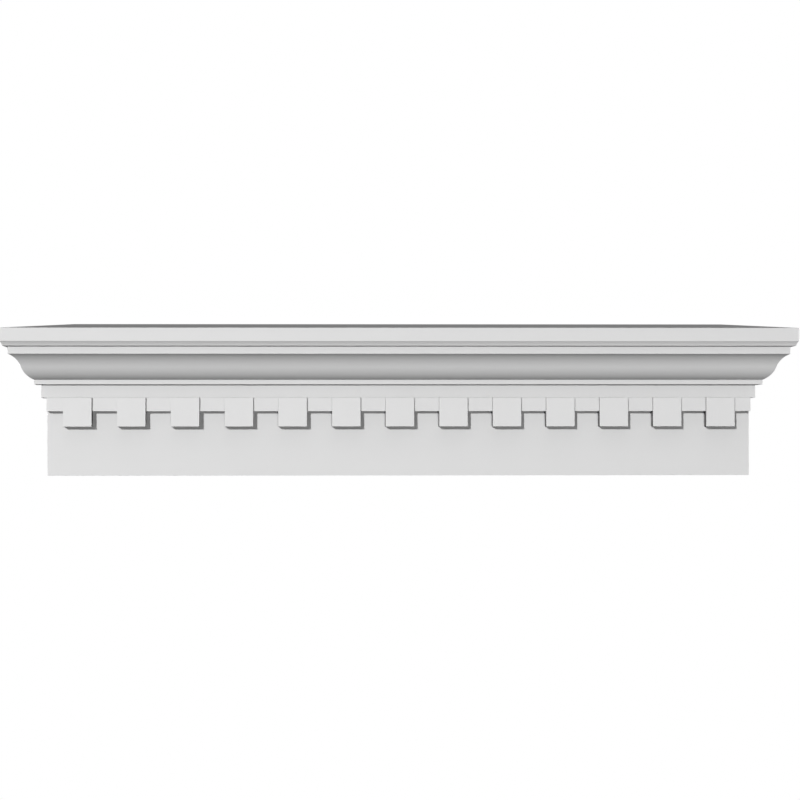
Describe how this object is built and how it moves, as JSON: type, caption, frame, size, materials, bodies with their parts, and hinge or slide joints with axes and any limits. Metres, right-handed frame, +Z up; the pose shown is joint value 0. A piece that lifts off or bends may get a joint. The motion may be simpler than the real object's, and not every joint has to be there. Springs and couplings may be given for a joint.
{
  "type": "door crosshead",
  "caption": "Door crosshead: plain frieze board under a returned cyma crown moulding with a sloping hipped top, and a square-cut dentil trim planted under the crown.",
  "frame": {"origin": "middle of the flat back face, which lies on the wall", "axes": "+Z up, +X along the crosshead to the right as seen from the front, the front faces -Y and +Y goes into the wall"},
  "size_m": [1.201, 0.1052, 0.2312],
  "materials": {
    "primed_moulding": "satin white factory primer on moulded high-density foam",
    "primed_trim": "satin white factory primer on a square-cut moulded strip"
  },
  "bodies": {
    "root": {"crosshead_body": "primed_moulding", "dentil_trim": "primed_trim"}
  },
  "joints": []
}
